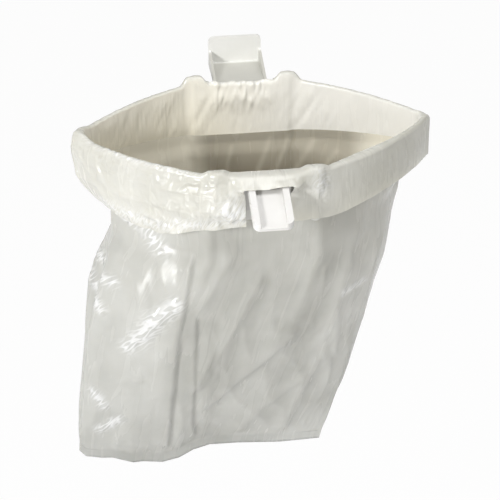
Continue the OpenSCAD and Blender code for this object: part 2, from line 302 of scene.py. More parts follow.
right_point = profile([0, 7, 15.6, 22, 31, 33.5, 36.5, 44.7, 47],
                      [4.2, 4.4, 4.3, 4.2, 4.2, 0, -6.5, -11.5, -16])
INNER_ROWS, CAP_ROWS, OUTER_ROWS = 16, 10, 44
LEG_ROW = INNER_ROWS + CAP_ROWS
CAP_DEPTH, CAP_TALL = 1.2 * MM, 1.9 * MM
COLUMN_GAUGE = 1.15 * MM
CLIP_COVER, KNUCKLE_COVER = 4.9 * MM, 0.7 * MM
ARM_FADE, SOFT_MEET = 20 * MM, 1.4 * MM


def on_front_left(s, past=0.0):
    """1 on the front left arm, and a little past its clip pin."""
    return ease((s - S_CORNER_L) / ARM_FADE) * ease((S_PIN_FL + past - s) / ARM_FADE)


def near_hook(s, past, fade):
    """1 before the hook, and past the notch for it."""
    x, y = hinge_point(s)
    return ease((NOTCH_BACK + past - np.abs(x)) / fade) * (y > MID_Y)


def cuff_reach(s, depth):
    """Reach of the turned-over film at a depth below the rim."""
    turn = hoop_turn(s)
    left = ease((S_PIN_FR - HALF_SPAN - s) / (20 * MM) + 0.5) * ease(s / (10 * MM))
    off = left * left_bulge(depth) + (1 - left) * right_bulge(depth)
    for pin in (S_PIN_BL, S_PIN_BR):
        off = np.maximum(off, (KNUCKLE + KNUCKLE_COVER) * hump((s - pin) / (9 * MM)))
    from_clip = np.abs(s - CLIP_MID)
    off = np.maximum(off, CLIP_COVER * ease((HALF_SPAN + 10 * MM - from_clip) / (8 * MM)))
    # over the root of the handle the film stands out like a tent
    tent = (handle_tent(depth) - off) * ease((26 * MM - from_clip) / (11.2 * MM))
    off = off + np.maximum(tent * ease((24 * MM - depth) / (14 * MM)), 0)
    out = hoop_reach(turn, off)
    hinge = hoop_reach(turn, np.zeros(s.shape))
    for corner, point in ((S_CORNER_L, left_point), (S_CORNER_R, right_point)):
        near = hump((s - corner) / (24 * MM))
        out = out + near * (hinge + point(depth) - out)
    return np.maximum(out, body_reach(s, RIM - depth) + 1.0 * MM)


# How the film behaves in the cloth run
CLOTH_QUALITY, FILM_MASS = 5, 0.02
FILM_STRETCH, FILM_SHEAR, FILM_BEND = 12, 6, 0.02
FILM_GROWTH = 0.02


def film_face(cols, j, i):
    """The face of a grid of film below point i of row j."""
    k = (i + 1) % cols
    return j * cols + i, (j + 1) * cols + i, (j + 1) * cols + k, j * cols + k


def slacken(points, held, frames, pressure, most):
    """Lets the film go slack and fill a little: it grows, is pushed out, and stays where held."""
    rows, cols = points.shape[:2]
    faces = [film_face(cols, j, i) for j in range(rows - 1) for i in range(cols)]
    mesh = bpy.data.meshes.new("slack_film")
    mesh.from_pydata(points.reshape(-1, 3).tolist(), [], faces)
    trial = bpy.data.objects.new("slack_film", mesh)
    bpy.context.scene.collection.objects.link(trial)
    pinned = trial.vertex_groups.new(name="held")
    weights = np.round(held.reshape(-1), 2)
    for level in np.unique(weights):
        if level > 0:
            pinned.add(np.nonzero(weights == level)[0].tolist(), float(level), "REPLACE")
    cloth = trial.modifiers.new("slack", "CLOTH")
    rule = cloth.settings
    rule.quality = CLOTH_QUALITY
    rule.mass = FILM_MASS
    rule.tension_stiffness = rule.compression_stiffness = FILM_STRETCH
    rule.shear_stiffness = FILM_SHEAR
    rule.bending_stiffness = FILM_BEND
    rule.vertex_group_mass = "held"
    rule.pin_stiffness = 1.0
    rule.use_pressure = True
    rule.uniform_pressure_force = pressure
    rule.shrink_min = -FILM_GROWTH
    rule.effector_weights.gravity = 0
    cloth.collision_settings.use_collision = False
    for frame_no in range(1, frames + 1):
        bpy.context.scene.frame_set(frame_no)
    graph = bpy.context.evaluated_depsgraph_get()
    moved = np.zeros(rows * cols * 3, np.float32)
    trial.evaluated_get(graph).data.vertices.foreach_get("co", moved)
    moved = moved.reshape(points.shape).astype(float)
    bpy.context.scene.frame_set(1)
    bpy.data.objects.remove(trial)
    step = moved - points
    size = np.linalg.norm(step, axis=2, keepdims=True)
    return points + step * np.minimum(1, most / np.maximum(size, 1e-9))


def cuff_stations():
    """Stations round the hoop, one of them at each place where two pieces of the cuff meet."""
    stops = [0.0, SEAM_BL, SEAM_FL, S_PIN_FR, SEAM_BR, S_END]
    runs = [np.linspace(a, b, int(round((b - a) / COLUMN_GAUGE)) + 1)[:-1] for a, b in zip(stops, stops[1:])]
    return np.concatenate(runs), np.cumsum([0] + [len(run) for run in runs])


def cuff_rows(s):
    """Reach and height of the cuff's rows: up inside the bands, over the rim and down outside."""
    hx, hy = hinge_point(s)
    flat = np.stack([hx, hy, 0 * hx], -1)
    inner = lining_at(s)
    foot = band_foot(s) - LINING_BELOW
    shoulder = RIM - CAP_DEPTH
    rows = []
    # in front on the right the film is drawn tight across, inside the rim
    tight = 3.5 * MM * hump((s - S_PIN_FR - 42 * MM) / (32 * MM))
    for j in range(INNER_ROWS):
        up = j / INNER_ROWS
        rows.append((inner - tight * ease(up * 1.5 - 0.5), foot + (shoulder - foot) * up))
    inner = inner - tight
    outer = cuff_reach(s, np.full(s.shape, CAP_DEPTH))
    tent = np.zeros(s.shape)
    for (px, py), tall, soft in zip(PINS, TENT_TALL, TENT_SOFT):
        beside = (np.hypot(hx - px, hy - py) - 4.2 * MM) / (soft * MM)
        tent = np.maximum(tent, tall * MM * (1 - ease(beside)))
    ruffle = crumple(flat, (6, 6, 1000), 8.8)
    bunch = near_hook(s, 6 * MM, 8 * MM) * (1.6 + 1.8 * ruffle) * MM
    frill = (0.45 + 0.4 * on_front_left(s)) * MM * crumple(flat, (4, 4, 1000), 1.7)
    for j in range(CAP_ROWS):
        c = math.pi * j / CAP_ROWS
        up = CAP_TALL * math.sin(c) ** 0.8 + tent * math.sin(c) ** 0.35 + frill * math.sin(c)
        up = up + bunch * math.sin(c)
        rows.append((inner + (outer - inner) * (1 - math.cos(c)) / 2, shoulder + up))
    drop = cuff_drop(s)
    for j in range(OUTER_ROWS + 1):
        depth = CAP_DEPTH + (drop - CAP_DEPTH) * j / OUTER_ROWS
        rows.append((cuff_reach(s, depth), RIM - depth))
    return np.array([out for out, _ in rows]), np.array([np.broadcast_to(z, s.shape) for _, z in rows])


def lining_pull(s, place):
    """How far the lining's creases stand off the bands, with its gathers before the hook."""
    z = place[..., 2]
    row = np.arange(INNER_ROWS)[:, None]
    pull = crease(place, (6, 6, 40), 2.6) * 0.25 * MM
    # at the back it is drawn aslant too, here more and there less
    from_hook = np.where(s > S_END / 2, s - S_END, s)[None] + 0.55 * z
    aslant = np.stack([from_hook, z, 0 * from_hook], -1)
    patchy = 0.25 + 0.75 * ease(crumple(aslant, (26, 30, 1000), 5.9) * 1.6 + 0.4)
    behind = ease((hinge_point(s)[1] - MID_Y) / (30 * MM))[None] * ease((row - 2) / 3)
    pull = pull + crease(aslant, (7, 60, 1000), 6.3) * 0.8 * MM * patchy * behind
    high = ease((z - RIM + 26 * MM) / (16 * MM))
    gathers = MM * (crease(place, (8, 8, 10), 4.2) + 0.5)
    pull = pull + near_hook(s, 6 * MM, 8 * MM) * high * gathers
    return np.maximum(pull, -0.05 * MM) * ease(row / 3) * ease((INNER_ROWS - row) / 3)


def slack_leg(s, smooth_leg, place, out_way):
    """The turned-over leg of the cuff: soft waves first, then slack film."""
    depth = RIM - place[..., 2]
    hem_share = depth / cuff_drop(s)
    lift = 1.1 * crumple(place, (19, 19, 34), 3.1)
    lift += 0.35 * crease(place, (11, 11, 24), 7.7)
    lift += 0.2 * crease(place, (6, 6, 9), 1.4)
    # a crumpled bunch left of the handle
    bunched = hump((s - CLIP_MID + 22 * MM) / (8 * MM)) * hump((depth - 27 * MM) / (11 * MM))
    lift += bunched * (4.0 + 2.2 * crease(place, (5, 5, 9), 2.2))
    calm = 1 - 0.6 * ease((s - S_PIN_FR) / (15 * MM)) * ease((S_END - 60 * MM - s) / (30 * MM))
    leg = smooth_leg + (np.maximum(lift * calm, -0.6) * MM * ease(depth / (8 * MM)))[..., None] * out_way
    uneven = 1.2 * MM * crumple(place, (24, 24, 900), 5.3)
    leg[..., 2] += uneven * ease((hem_share - 0.75) / 0.25)
    held = np.broadcast_to(1.3 * (1 - calm), depth.shape).copy()
    held[:2] = 1
    slack = slacken(leg, held, frames=14, pressure=0.6, most=4 * MM)
    # its hem stays even
    step = slack - smooth_leg
    even = np.apply_along_axis(rounded, 1, step, S_END / len(s), 4 * MM)
    slack = smooth_leg + step + (even - step) * (0.85 * ease((hem_share - 0.6) / 0.4))[..., None]
    # it never sinks into what is behind it
    far = np.hypot(slack[..., 0], slack[..., 1] - MID_Y)
    around = np.arctan2(slack[..., 1] - MID_Y, slack[..., 0])
    give = ease(depth / (6 * MM)) * ease((np.abs(s - CLIP_MID) - 20 * MM) / (8 * MM))
    least = cuff_reach(s[None].repeat(len(leg), 0), depth) - MM * give
    far = (far + least + np.sqrt((far - least) ** 2 + SOFT_MEET ** 2)) / 2
    return hoop_points(around, far, slack[..., 2])


def cuff_grid(s):
    """Points of the whole cuff, in rows from the foot of the lining to the hem."""
    turn = hoop_turn(s)
    hx, hy = hinge_point(s)
    out, z = cuff_rows(s)
    points = hoop_points(turn[None].repeat(len(z), 0), out, z)
    out_way = np.stack([np.cos(turn), np.sin(turn), np.zeros(s.shape)], -1)[None]
    place = np.stack([np.broadcast_to(hx, z.shape), np.broadcast_to(hy, z.shape), z], -1)
    points[:INNER_ROWS] -= lining_pull(s, place[:INNER_ROWS])[..., None] * out_way
    points[LEG_ROW:] = slack_leg(s, points[LEG_ROW:].copy(), place[LEG_ROW:], out_way)
    hinge = hoop_reach(turn, 0.0)
    return points, hoop_points(turn[None].repeat(len(z), 0), hinge[None].repeat(len(z), 0), z)


def stilled(points, base, columns):
    """The film held straight for a few columns where two pieces meet, so that no edge shows there."""
    step = points - base
    cols = points.shape[1]
    for c in columns:
        for k, share in ((1, 1.0), (2, 0.7), (3, 0.35)):
            for side in (c - k, c + k):
                i = side % cols
                step[:, i] = step[:, i] * (1 - share) + step[:, c % cols] * share
    return base + step


def foot_faces(rows, cols):
    """Faces that close a ring of film along its foot, front to back."""
    last = (rows - 1) * cols
    for i in range(cols // 2):
        ring = []
        for v in (i, i + 1, (cols - i - 1) % cols, (cols - i) % cols):
            if last + v not in ring:
                ring.append(last + v)
        if len(ring) > 2:
            yield tuple(reversed(ring))


def film_mesh(name, points, run, shares, keep=None, closed=False):
    """A piece from rows of points, with a UV map in metres that follows the film; run goes round it.
    A closed piece is a ring whose foot is shut."""
    rows, cols = points.shape[:2]
    down = np.zeros((rows, cols))
    down[1:] = np.cumsum(np.linalg.norm(np.diff(points, axis=0), axis=2), axis=0)
    down = down.reshape(-1)
    faces, uv = [], []
    for j in range(rows - 1):
        for i in range(cols if closed else cols - 1):
            if keep is not None and not keep[j, i]:
                continue
            faces.append(film_face(cols, j, i))
            uv += [(run[i + n // 2], down[v]) for n, v in enumerate(faces[-1])]
    if closed:
        for face in foot_faces(rows, cols):
            faces.append(face)
            uv += [(run[v % cols], down[v]) for v in face]
    used = sorted({v for face in faces for v in face})
    place = {v: i for i, v in enumerate(used)}
    flat = points.reshape(-1, 3)
    mesh = bpy.data.meshes.new(name)
    mesh.from_pydata([tuple(flat[v]) for v in used], [], [[place[v] for v in face] for face in faces])
    layer = mesh.uv_layers.new(name="film_run")
    layer.data.foreach_set("uv", np.array(uv, np.float32).ravel())
    mesh.polygons.foreach_set("use_smooth", [True] * len(mesh.polygons))
    mesh.update()
    # the film's own edges stay crisp, so that no shade shows where two pieces meet
    count = {}
    for face in mesh.polygons:
        for key in face.edge_keys:
            count[key] = count.get(key, 0) + 1
    mesh.edges.foreach_set("use_edge_sharp", [count[edge.key] == 1 for edge in mesh.edges])
    for share, values in shares.items():
        layer = mesh.attributes.new(share, "FLOAT", "POINT")
        layer.data.foreach_set("value", values.reshape(-1)[used].astype(np.float32))
    piece = bpy.data.objects.new(name, mesh)
    bpy.context.scene.collection.objects.link(piece)
    skin = piece.modifiers.new("film_gauge", "SOLIDIFY")
    skin.thickness = FILM_GAUGE
    skin.offset = 0
    skin.material_offset = 1
    return piece


cuff_s, cut_at = cuff_stations()
cuff_points, plain_hoop = cuff_grid(cuff_s)
cuff_points = stilled(cuff_points, plain_hoop, [cut_at[0], cut_at[1], cut_at[2], cut_at[4]])


def tucked(points, columns, stop, tuck):
    """The last few columns of a cuff piece, drawn under the next piece."""
    share = ease((columns - stop + 6) / 4)
    way = points - np.array([0, MID_Y, 0])
    way[..., 2] = 0
    way /= np.linalg.norm(way, axis=2, keepdims=True)
    row = np.arange(len(points))[:, None]
    inward = np.where(row < INNER_ROWS, 1.0, np.where(row >= LEG_ROW, -1.0, 0.0))
    points = points + (inward * tuck * share)[..., None] * way
    points[INNER_ROWS:LEG_ROW, :, 2] -= tuck * share
    return points


def cuff_shares(s, rows):
    """Where the cuff is lining, how much of the bands' cream tone with painted shade it takes, and where it is
    crushed, with painted glints.
    """
    row = np.arange(rows)[:, None]
    inside = np.broadcast_to(ease((INNER_ROWS + CAP_ROWS / 2 - row) / (CAP_ROWS / 2)), (rows, len(s)))
    # painted shade: creamiest and darkest at the left and low down, where the inside lies in shade
    low_down = 0.55 + 0.45 * (1 - row / INNER_ROWS).clip(0, 1)
    cream_and_shade = low_down * (0.15 + 0.85 * ease((60 * MM - hinge_point(s)[0]) / (120 * MM)))[None]
    # crushed, with painted glints, along its hem and rim in front on the left, beside the handle and before the
    # hook
    hem = hump((row - rows + 7) / 5.0) * on_front_left(s, past=20 * MM)[None]
    rim = hump((row - INNER_ROWS - 0.6 * CAP_ROWS) / 4.0) * on_front_left(s)[None]
    knot = hump((row - LEG_ROW - 29) / 13.0) * hump((s - CLIP_MID + 21 * MM) / (9 * MM))[None]
    pleat = hump((row - LEG_ROW - 9) / 11.0) * hump((s - S_PIN_FR - 1 * MM) / (6.5 * MM))[None]
    before_hook = hump((row - INNER_ROWS) / 7.0) * near_hook(s, 8 * MM, 16 * MM)[None]
    crushed_glint = np.max([0.6 * hem, knot, 0.7 * before_hook, 0.5 * rim, 0.7 * pleat], axis=0)
    return {"lining": inside, "cream_and_shade": cream_and_shade, "crushed_glint": crushed_glint}


def cuff_piece(name, start, stop, tuck=0.0):
    """The columns of the cuff from start to stop; the last few lie under the next piece by the tuck."""
    columns = np.arange(start, stop + 1)
    points = cuff_points[:, columns % len(cuff_s)].copy()
    if tuck:
        points = tucked(points, columns, stop, tuck)
    s = cuff_s[columns % len(cuff_s)]
    # the notches for the hook and the handle
    middle = s[:-1] + 0.5 * MM
    cut_back = (middle < NOTCH_BACK) | (middle > S_END - NOTCH_BACK)
    cut_front = np.abs(middle - CLIP_MID) < NOTCH_FRONT
    row = np.arange(len(points) - 1)
    keep = np.ones((len(points) - 1, len(columns) - 1), bool)
    keep[np.ix_(row >= INNER_ROWS + 4, cut_back)] = False
    keep[np.ix_(row >= LEG_ROW + 5, cut_front)] = False
    # one run for the whole cuff, which starts at the clip's right pin
    run = s + S_END * (columns // len(cuff_s)) - S_PIN_FR
    run = run + (S_END if start < cut_at[3] - 1 else 0)
    return film_mesh(name, points, run, cuff_shares(s, len(points)), keep)


cuff_back_left = cuff_piece("cuff_back_left", cut_at[0], cut_at[1])
cuff_corner_left = cuff_piece("cuff_corner_left", cut_at[1], cut_at[2])
cuff_front_left = cuff_piece("cuff_front_left", cut_at[2], cut_at[3] + 2, tuck=0.23 * MM)
cuff_corner_right = cuff_piece("cuff_corner_right", cut_at[3] - 1, cut_at[4])
cuff_back_right = cuff_piece("cuff_back_right", cut_at[4], cut_at[5])

# The bag's body. Its sides, gusset and depth go by height, and its foot goes by place across
BODY_COLS, NECK_ROWS, BODY_ROWS = 400, 12, 108
FOOT, NECK_DEEP = -290 * MM, 64 * MM
GROOVE = 13 * MM
STIFF_FOOT = 0.965 * BODY_ROWS
left_side = profile([-290, -244, -204, -174, -139, -104, -69],
                    [-135.3, -132.3, -129.3, -126.3, -121.3, -110.5, -102.5])
right_side = profile([-290, -241.9, -206.3, -143.8, -77.5, -69], [52.3, 64.2, 73.1, 88.9, 106, 107.5])
gusset_fold = profile([-288, -270, -199, -153, -111, -75], [-68, -67.4, -64, -61.8, -55.5, -50])
half_deep = profile([-290, -282, -274, -256, -204, -139, -104, -69], [0.5, 0.5, 5, 14, 34, 52, 60, 64])
foot_line = profile(
    [-135.3, -133, -130.3, -118, -110, -103.3, -94, -87, -71, -58, -47, -34, -13, 21.5, 54.3],
    [-281.5, -284.5, -287.5, -290, -290.5, -293, -296.5, -296, -298, -295, -288.5, -284.6, -284.8, -287, -286])

# Folds of the front, in millimetres: a line of points, how tall, how wide, and how slowly its left
# side falls away, where 0 is a fold with two like sides
FRONT_FOLDS = [
    ([(-50, -75), (-55.5, -111), (-61.8, -153), (-64, -199), (-67.4, -270), (-68, -288)], 2.1, 1.5, 26),
    ([(-49, -128), (-49.1, -180), (-49.7, -252), (-45, -280)], 1.4, 1.6, 12),
    ([(-44, -242), (-17.7, -207), (9.3, -177), (30, -150)], 2.2, 5.5, 16),
    ([(-49, -216), (-40.8, -186), (-33, -162)], 1.8, 3.2, 8),
    ([(-47.5, -220), (-26.6, -161), (-8, -112), (0, -92)], 3.4, 7.5, 0),
    ([(-50.4, -134.5), (-31.4, -93), (-15, -61)], 2.8, 7.0, 0),
    ([(-96.4, -166), (-79.7, -143.5), (-63.3, -122)], 2.2, 4.0, 0),
    ([(-84, -60), (-79, -67), (-75, -78)], 2.0, 4.5, 0),
    ([(-101, -78), (-93, -102), (-84.6, -136), (-82, -150)], 2.4, 7.0, 0),
    ([(-108, -204), (-83, -198)], 1.3, 2.6, 0),
    ([(20, -280), (30, -235), (52, -180)], 2.0, 7.0, 0),
    ([(-20, -282), (4, -240), (40, -205)], 1.8, 6.0, 0),
    ([(62, -90), (56, -140), (60, -200)], 2.2, 8.0, 0),
    ([(92, -80), (80, -130), (70, -190), (62, -240)], 2.2, 6.0, 0),
]

# Crushed patches of the front, creased and given painted glints along the creases: two ends of a line, and how
# wide
FRONT_CRUSHED_GLINTS = [
    ((-97, -167), (-63, -121), 5.5), ((-90, -160), (-76, -136), 7.0), ((-84, -60), (-75, -77), 6.0),
    ((-118, -117), (-106, -115), 4.0), ((-121, -131), (-116, -140), 4.0), ((-123, -217), (-116, -231), 4.0),
    ((-119, -256), (-104, -244), 4.0), ((-103, -63), (-90, -68), 2.5), ((62, -126), (76, -123), 3.0),
]

# Fine creases of the back, seen through the bag's mouth; dented in, and painted paler inside as painted
# highlights
BACK_CREASES = [
    ((2, -110), (22, -54), 2.2), ((16, -110), (36, -54), 1.8), ((-18, -112), (-8, -60), 1.8),
    ((30, -106), (54, -56), 2.2), ((-48, -110), (-44, -56), 1.8), ((50, -96), (70, -60), 1.8),
]


def marked_share(points, way, marks, side):
    """How strongly each point lies in the marked lines of the front (side -1) or the back (side 1)."""
    most = np.zeros(points.shape[:2])
    for start, stop, wide in marks:
        start, stop = np.array(start) * MM, np.array(stop) * MM
        run = stop - start
        dx, dz = points[..., 0] - start[0], points[..., 2] - start[1]
        along = np.clip((dx * run[0] + dz * run[1]) / (run @ run), 0, 1)
        gap = np.hypot(dx - along * run[0], dz - along * run[1])
        most = np.maximum(most, hump(gap / (wide * MM)))
    return most * ease(side * way[..., 1] * 2 + 0.4)


def fold_lift(x, z):
    """How far the film of the front stands out, from its folds."""
    lift = np.zeros(x.shape)
    for line, tall, wide, back in FRONT_FOLDS:
        line = np.array(line) * MM
        runs = np.append(0, np.cumsum(np.linalg.norm(np.diff(line, axis=0), axis=1)))
        best, side, at_run = np.full(x.shape, 9.0), np.zeros(x.shape), np.zeros(x.shape)
        for (ax, az), (bx, bz), start in zip(line, line[1:], runs):
            long = math.hypot(bx - ax, bz - az)
            ux, uz = (bx - ax) / long, (bz - az) / long
            along = np.clip((x - ax) * ux + (z - az) * uz, 0, long)
            gap = np.hypot(x - ax - along * ux, z - az - along * uz)
            nearer = gap < best
            best = np.where(nearer, gap, best)
            side = np.where(nearer, np.sign((x - ax) * uz - (z - az) * ux), side)
            at_run = np.where(nearer, start + along, at_run)
        fade = min(runs[-1] / 3, 16 * MM)
        ends = ease(at_run / fade) * ease((runs[-1] - at_run) / fade)
        ridge = np.exp(-np.abs(best / (wide * MM)) ** 1.4)
        if back:
            # the right side drops off sharply, and the left side falls away slowly
            left = side * math.copysign(1, line[-1][1] - line[0][1]) < 0
            blunt = np.hypot(best, 0.6 * wide * MM) - 0.6 * wide * MM
            sharp = ridge * 2 - np.exp(-blunt / (2.5 * wide * MM))
            ridge = np.where(left, np.exp(-blunt / (back * MM)), sharp)
        lift += tall * MM * ridge * ends
    return lift


def outward(points):
    """The way out of the bag at each point."""
    du = np.roll(points, -1, axis=1) - np.roll(points, 1, axis=1)
    way = np.cross(np.gradient(points, axis=0), du)
    return way / np.maximum(np.linalg.norm(way, axis=2, keepdims=True), 1e-12)


def body_form():
    """Rows of points of the bag's body before it is creased: a neck under the bands, then the bag."""
    # columns spread evenly round the hoop, in mirrored pairs front and back
    s = np.mod(np.linspace(0, S_END, BODY_COLS + 1)[:-1] + S_CORNER_L, S_END)
    turn = hoop_turn(s)
    tight, low = waist(s)
    top = band_foot(s) + NECK_ABOVE
    rows = []
    for j in range(NECK_ROWS):
        z = top + (low - top) * j / NECK_ROWS
        rows.append(hoop_points(turn, body_reach(s, z), z))
    neck = hoop_points(turn, tight, low)
    neck_x = neck[:, 0]
    share = np.clip(np.where(neck_x < 0, neck_x / LEFT_WAIST, neck_x / RIGHT_WAIST), -1, 1)
    deep = (neck[:, 1] - MID_Y) / NECK_DEEP
    lens = np.where(deep < 0, -1.0, 1.0) * np.sqrt(np.maximum(1 - np.abs(share) ** 2.2, 0))
    for j in range(BODY_ROWS + 1):
        t = j / BODY_ROWS
        level = WAIST_Z + (FOOT - WAIST_Z) * t
        mid_x = (left_side(level) + right_side(level)) / 2
        half = (right_side(level) - left_side(level)) / 2
        x = mid_x + half * np.clip(share * (1 + 0.08 * ease(t / 0.25)), -1, 1)
        x = neck_x + (x - neck_x) * ease(t / 0.12)
        z = low + (foot_line(x) - low) * t
        d = deep + (lens - deep) * ease(t / 0.8)
        y = MID_Y + half_deep(level) * d
        # a groove down each side, where the gusset goes in
        groove = hump(np.abs(d) / 0.22) * np.sign(share) * GROOVE * ease(t / 0.45) * ease((0.93 - t) / 0.3)
        rows.append(np.stack([x - groove, y, z], -1))
    return np.array(rows)


def bag_body_piece():
    """The bag's body: its form, slack film, chosen folds on the front and small free ones all round."""
    points = body_form()
    level = np.arange(len(points))[:, None] - NECK_ROWS
    depth = ease((level + 4) / 10) * ease((STIFF_FOOT - level) / 7)
    slack = 1.3 * crumple(points, (36, 36, 90), 9.2)
    slack += 1.3 * crease(points, (24, 24, 60), 4.6)
    points += (slack * MM * depth)[..., None] * outward(points)
    held = 1 - ease((level + 6) / 8) * ease((STIFF_FOOT - level) / 6)
    points = slacken(points, np.broadcast_to(held, points.shape[:2]), frames=12, pressure=0.3, most=6 * MM)
    way = outward(points)
    push = fold_lift(points[..., 0], points[..., 2]) * ease(-way[..., 1] * 1.6 - 0.1)
    loose = ease(crumple(points, (40, 40, 40), 3.3) * 2)
    # crushed patches, creased and given painted glints
    crushed_glint = marked_share(points, way, FRONT_CRUSHED_GLINTS, -1)
    behind = marked_share(points, way, BACK_CREASES, 1)
    push += 0.45 * MM * crease(points, (9, 9, 16), 6.1) * loose
    push += 1.1 * MM * crease(points, (8, 8, 8), 2.7) * crushed_glint
    push -= 0.5 * MM * behind
    points += (push * depth)[..., None] * way
    x, z = points[..., 0], points[..., 2]
    # painted light: near the corners and at the top the inside is painted as light as the lining above it, and
    # the back's creases are painted paler
    light = ease((np.abs(x - 26 * MM) - 44 * MM) / (28 * MM)) * ease((z + 150 * MM) / (80 * MM))
    light = np.maximum(light, 0.2 * ease((z + 84 * MM) / (24 * MM)))
    light = np.minimum(light + 0.17 * behind, 1)
    # the side gussets double the film between their inner folds and the bag's edges
    at_left = ease((gusset_fold(z) - x) / (14 * MM)) * ease((z + 300 * MM) / (70 * MM))
    at_right = ease((x - right_side(z) + 52 * MM) / (26 * MM))
    doubled = np.maximum(0.3 * at_left, (0.35 + 0.35 * hump((z + 140 * MM) / (45 * MM))) * at_right)
    around = np.linalg.norm(points - np.roll(points, 1, axis=1), axis=2).mean(0)
    run = np.append(np.cumsum(around) - around[0], around.sum())
    # the inside's painted light is kept in the lining share, so the inside takes the lining's tone there
    shares = {"lining": light, "cream_and_shade": np.full(light.shape, 0.8), "crushed_glint": crushed_glint, "doubled": doubled}
    return film_mesh("bag_body", points, run, shares, closed=True)


bag_body = bag_body_piece()

# The weld along the foot of the bag
WELD_LEFT, WELD_RIGHT, WELD_UP, WELD_BEAD = -133.5 * MM, 51 * MM, 7 * MM, 0.5 * MM
WELD_POINTS, WELD_SIDES = 90, 10


def weld_bead_tree():
    """Nodes that sweep a round bead along a line of edges; gives the tree and its two inputs."""
    tree = bpy.data.node_groups.new("weld_bead", "GeometryNodeTree")
    tree.interface.new_socket("Line", in_out="INPUT", socket_type="NodeSocketGeometry")
    size = tree.interface.new_socket("Bead", in_out="INPUT", socket_type="NodeSocketFloat")
    finish = tree.interface.new_socket("Film", in_out="INPUT", socket_type="NodeSocketMaterial")
    tree.interface.new_socket("Bead", in_out="OUTPUT", socket_type="NodeSocketGeometry")
    new = tree.nodes.new
    start, end = new("NodeGroupInput"), new("NodeGroupOutput")
    line, ring = new("GeometryNodeMeshToCurve"), new("GeometryNodeCurvePrimitiveCircle")
    sweep, real = new("GeometryNodeCurveToMesh"), new("GeometryNodeRealizeInstances")
    dress = new("GeometryNodeSetMaterial")
    ring.inputs["Resolution"].default_value = WELD_SIDES
    sweep.inputs["Fill Caps"].default_value = True
    link = tree.links.new
    link(start.outputs["Line"], line.inputs["Mesh"])
    link(start.outputs["Bead"], ring.inputs["Radius"])
    link(line.outputs["Curve"], sweep.inputs["Curve"])
    link(ring.outputs["Curve"], sweep.inputs["Profile Curve"])
    link(sweep.outputs["Mesh"], real.inputs["Geometry"])
    link(real.outputs["Geometry"], dress.inputs["Geometry"])
    link(start.outputs["Film"], dress.inputs["Material"])
    link(dress.outputs["Geometry"], end.inputs[0])
    return tree, size.identifier, finish.identifier


def bag_weld_piece(finish):
    """A bead along the foot of the bag, swept along its line by nodes."""
    mesh = bpy.data.meshes.new("bag_weld")
    across = np.linspace(WELD_LEFT, WELD_RIGHT, WELD_POINTS)
    path = [(x, MID_Y, float(foot_line(x)) + WELD_UP) for x in across]
    mesh.from_pydata(path, [(i, i + 1) for i in range(len(path) - 1)], [])
    piece = bpy.data.objects.new("bag_weld", mesh)
    bpy.context.scene.collection.objects.link(piece)
    sweeper = piece.modifiers.new("weld", "NODES")
    sweeper.node_group, bead, film = weld_bead_tree()
    sweeper[bead] = WELD_BEAD
    sweeper[film] = finish
    graph = bpy.context.evaluated_depsgraph_get()
    made = bpy.data.meshes.new_from_object(piece.evaluated_get(graph))
    piece.modifiers.remove(sweeper)
    piece.data = made
    made.name = "bag_weld"
    return piece


# Finishes


def shader_group(name, ins, outs):
    """A node group whose inputs have values; a colour is a tuple, and an output named Color is one too."""
    tree = bpy.data.node_groups.new(name, "ShaderNodeTree")
    for label, value in ins.items():
        kind = "NodeSocketColor" if isinstance(value, tuple) else "NodeSocketFloat"
        tree.interface.new_socket(label, in_out="INPUT", socket_type=kind).default_value = value
    for label in outs:
        kind = "NodeSocketColor" if label == "Color" else "NodeSocketFloat"
        tree.interface.new_socket(label, in_out="OUTPUT", socket_type=kind)
    return tree, tree.nodes.new("NodeGroupInput").outputs, tree.nodes.new("NodeGroupOutput").inputs


def shader_node(tree, kind, vector=None, **values):
    """A shader node with its values set, by the names of its sockets or else of its settings."""
    made = tree.nodes.new(kind)
    for key, value in values.items():
        if key in made.inputs:
            made.inputs[key].default_value = value
        else:
            setattr(made, key, value)
    if vector is not None:
        tree.links.new(vector, made.inputs["Vector"])
    return made


def feed(tree, socket, value):
    """Links a socket to another one, or sets its value."""
    if isinstance(value, bpy.types.NodeSocket):
        tree.links.new(value, socket)
    else:
        socket.default_value = value


def reckoned(tree, operation, *values):
    """The result of a Math node."""
    made = shader_node(tree, "ShaderNodeMath", operation=operation)
    for socket, value in zip(made.inputs, values):
        feed(tree, socket, value)
    return made.outputs[0]


def graded(tree, value, low, high, to_low, to_high):
    """A value taken from one range to another."""
    made = shader_node(tree, "ShaderNodeMapRange")
    for key, number in (("From Min", low), ("From Max", high), ("To Min", to_low), ("To Max", to_high)):
        made.inputs[key].default_value = number
    tree.links.new(value, made.inputs["Value"])
    return made.outputs["Result"]


def tinted(tree, share, base, tint):
    """A base colour that turns to a tint by a share."""
    made = shader_node(tree, "ShaderNodeMix", data_type="RGBA")
    tree.links.new(share, made.inputs["Factor"])
    feed(tree, made.inputs[6], base)
    feed(tree, made.inputs[7], tint)
    return made.outputs[2]


def film_share(tree, name):
    """A share that is kept on the film's points."""
    return shader_node(tree, "ShaderNodeAttribute", attribute_name=name).outputs["Fac"]


# painted shade: the darker tone of what stands out from the wall, as if in shadow
SHELF_SHADE_TONE = (0.47, 0.465, 0.42, 1)
SHELF_SHADE_FROM, SHELF_SHADE_FULL = -4.5 * MM, -7.5 * MM


